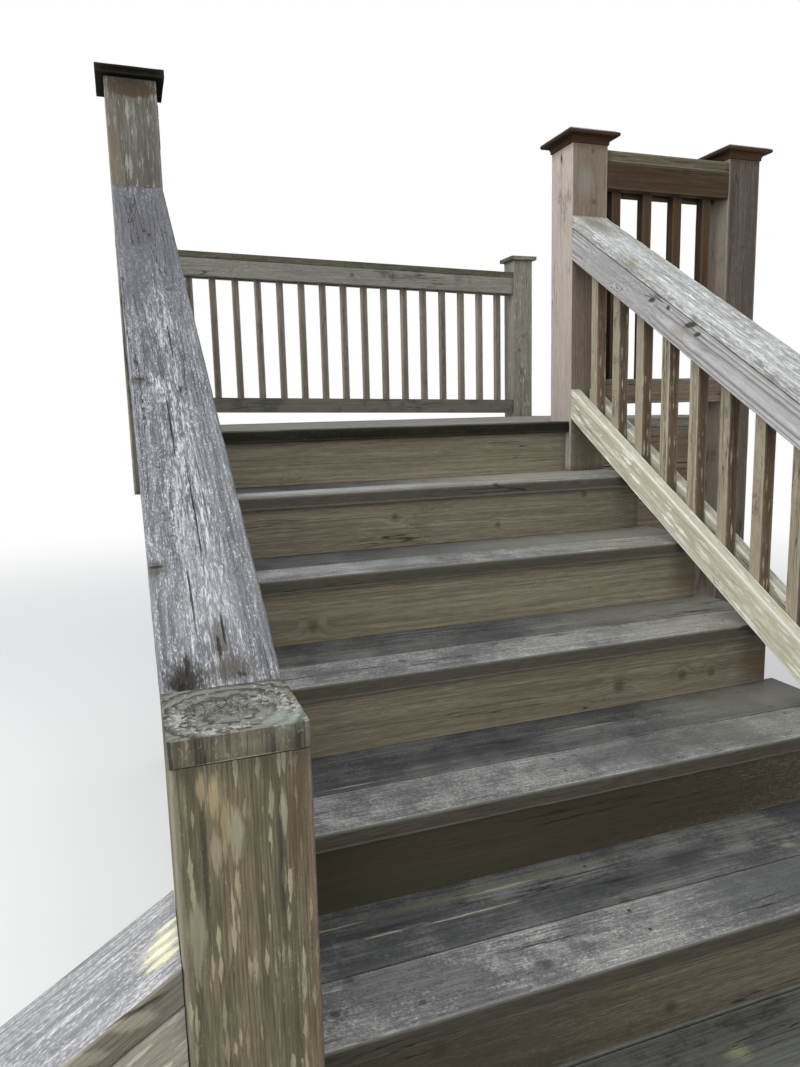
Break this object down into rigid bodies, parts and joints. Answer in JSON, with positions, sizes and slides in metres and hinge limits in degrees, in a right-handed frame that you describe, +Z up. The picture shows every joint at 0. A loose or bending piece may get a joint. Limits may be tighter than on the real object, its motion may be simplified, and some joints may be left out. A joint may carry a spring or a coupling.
{
  "type": "wooden deck stair with landing and guards",
  "caption": "Weathered wooden deck stair: a flight from a raised deck to a landing, a quarter turn to a lower flight, square posts, flat rail caps and balusters.",
  "frame": {"origin": "centre of the corner post's foot, where it stands on the ground", "axes": "+Z up; +Y climbs the upper flight towards the deck; +X runs along the upper treads and up the lower flight"},
  "size_m": [3.956, 5.786, 3.008],
  "materials": {
    "tread_wood": "weathered grey treated pine, speckled and mildewed",
    "nosing_wood": "nearly black mouldy treated pine",
    "riser_wood": "olive brown weathered pine with open grain",
    "rail_wood": "silver grey weathered pine with long cracks",
    "cap_wood": "dark stained post cap",
    "rail_board_wood": "grey brown weathered pine with wavy grain and pale flakes",
    "baluster_wood": "tan weathered pine with pale streaks and lichen",
    "post_wood": "olive brown weathered post with pale flakes",
    "frame_wood": "brown treated framing pine"
  },
  "bodies": {
    "root": {"back_balusters": "baluster_wood", "back_post_caps": "cap_wood", "back_posts": "post_wood", "back_rail_boards": "rail_board_wood", "back_rail_cap": "rail_wood", "corner_post": "post_wood", "corner_post_block": "post_wood", "deck_beams": "frame_wood", "deck_joists": "frame_wood", "deck_left_balusters": "baluster_wood", "deck_left_rail_boards": "rail_board_wood", "deck_left_rail_cap": "rail_wood", "deck_nosing_board": "nosing_wood", "deck_planks": "tread_wood", "deck_rims": "frame_wood", "deck_skirt": "riser_wood", "deck_support_posts": "post_wood", "landing_joists": "frame_wood", "landing_near_balusters": "baluster_wood", "landing_near_rail_boards": "rail_board_wood", "landing_near_rail_cap": "rail_wood", "landing_planks": "tread_wood", "landing_post_caps": "cap_wood", "landing_posts": "post_wood", "landing_right_balusters": "baluster_wood", "landing_right_rail_boards": "rail_board_wood", "landing_right_rail_cap": "rail_wood", "landing_rims": "frame_wood", "lower_end_posts": "post_wood", "lower_far_balusters": "baluster_wood", "lower_far_rail_boards": "rail_board_wood", "lower_far_rail_cap": "rail_wood", "lower_near_balusters": "baluster_wood", "lower_near_rail_boards": "rail_board_wood", "lower_near_rail_cap": "rail_wood", "lower_risers": "riser_wood", "lower_stringers": "frame_wood", "lower_treads": "tread_wood", "newel_cap": "cap_wood", "newel_post": "post_wood", "return_balusters": "baluster_wood", "return_cap": "cap_wood", "return_post": "post_wood", "return_rail_boards": "rail_board_wood", "return_rail_cap": "rail_wood", "skirt_cleats": "riser_wood", "top_left_cap": "cap_wood", "top_left_post": "post_wood", "upper_left_balusters": "baluster_wood", "upper_left_rail_boards": "rail_board_wood", "upper_left_rail_cap": "rail_wood", "upper_right_balusters": "baluster_wood", "upper_right_rail_boards": "rail_board_wood", "upper_right_rail_cap": "rail_wood", "upper_risers": "riser_wood", "upper_stringers": "frame_wood", "upper_treads": "tread_wood"}
  },
  "joints": []
}
